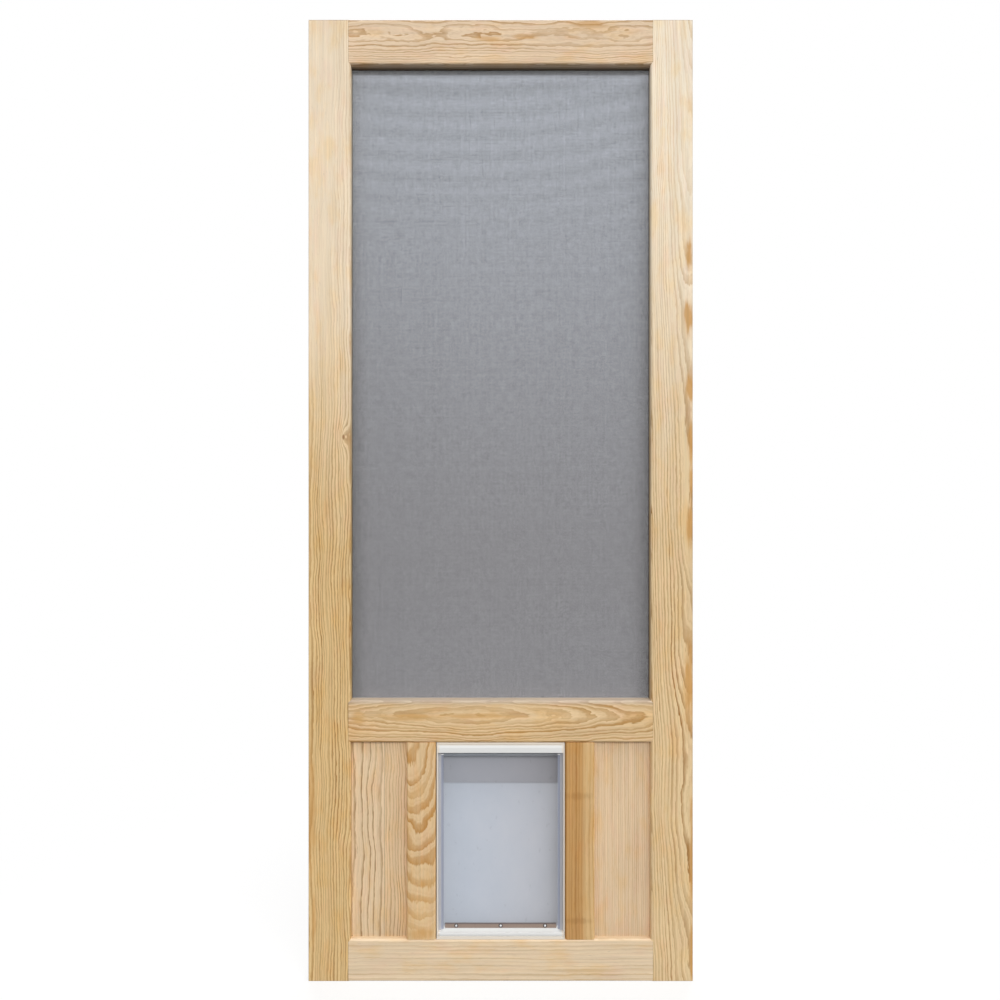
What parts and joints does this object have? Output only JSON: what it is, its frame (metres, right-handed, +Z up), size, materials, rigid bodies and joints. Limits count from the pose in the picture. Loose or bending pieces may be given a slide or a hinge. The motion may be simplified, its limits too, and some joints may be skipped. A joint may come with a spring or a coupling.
{
  "type": "wooden screen door with a pet flap",
  "caption": "Stile-and-rail pine screen door leaf with an insect screen above and flat panels beside a framed, swinging vinyl pet flap below.",
  "frame": {"origin": "on the hinge edge of the left stile, at the door's foot, in the middle of its thickness", "axes": "+X across the door from the hinge edge to the latch edge, +Y through it from its front to its back, +Z up"},
  "size_m": [0.8128, 0.0286, 2.032],
  "materials": {
    "pine": "planed, unfinished",
    "screen_mesh": "vinyl-coated glass fibre mesh",
    "spline": "ribbed, matt",
    "white_plastic": "extruded, satin",
    "steel": "bright drawn",
    "vinyl": "translucent flexible sheet",
    "vinyl_band": "smoked flexible sheet",
    "magnet": "magnet-filled strip"
  },
  "bodies": {
    "door": {"left_stile": "pine", "right_stile": "pine", "top_rail": "pine", "lock_rail": "pine", "bottom_rail": "pine", "left_mullion": "pine", "right_mullion": "pine", "left_panel": "pine", "right_panel": "pine", "insect_screen": "screen_mesh", "left_spline": "spline", "right_spline": "spline", "bottom_spline": "spline", "top_spline": "spline", "pet_frame_left_jamb": "white_plastic", "pet_frame_right_jamb": "white_plastic", "pet_frame_head": "white_plastic", "pet_frame_sill": "white_plastic", "flap_hinge_rod": "steel"},
    "flap": {"flap_sheet": "vinyl", "flap_top_band": "vinyl_band", "flap_magnet_strip": "magnet"}
  },
  "joints": [
    {"name": "flap_swing", "type": "hinge", "parent": "door", "child": "flap", "pos_m": [0.4064, 0, 0.4749], "axis": [1, 0, 0], "range_deg": [-80, 80]}
  ]
}
